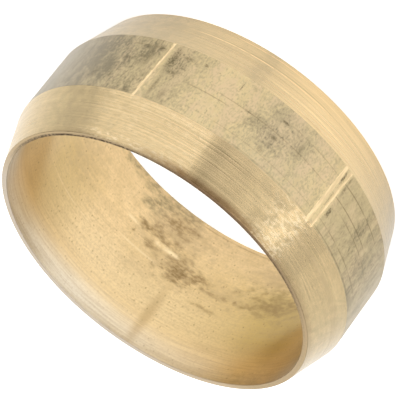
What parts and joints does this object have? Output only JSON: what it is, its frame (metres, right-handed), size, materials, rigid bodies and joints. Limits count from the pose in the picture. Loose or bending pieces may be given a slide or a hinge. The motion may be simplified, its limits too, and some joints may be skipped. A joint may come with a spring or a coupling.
{
  "type": "compression olive",
  "caption": "Turned brass ring with a plain band and a bevel to each end, squeezed onto a copper pipe to seal a compression joint.",
  "frame": {"origin": "centre of the lower end, where the ring stands", "axes": "+Z along the ring's axis, up from the lower end; the score marks on the band are on the -Y side"},
  "size_m": [0.017, 0.017, 0.0074],
  "materials": {
    "brass": "bright turned bevels and bore, tarnished drawn band"
  },
  "bodies": {
    "root": {"olive": "brass"}
  },
  "joints": []
}
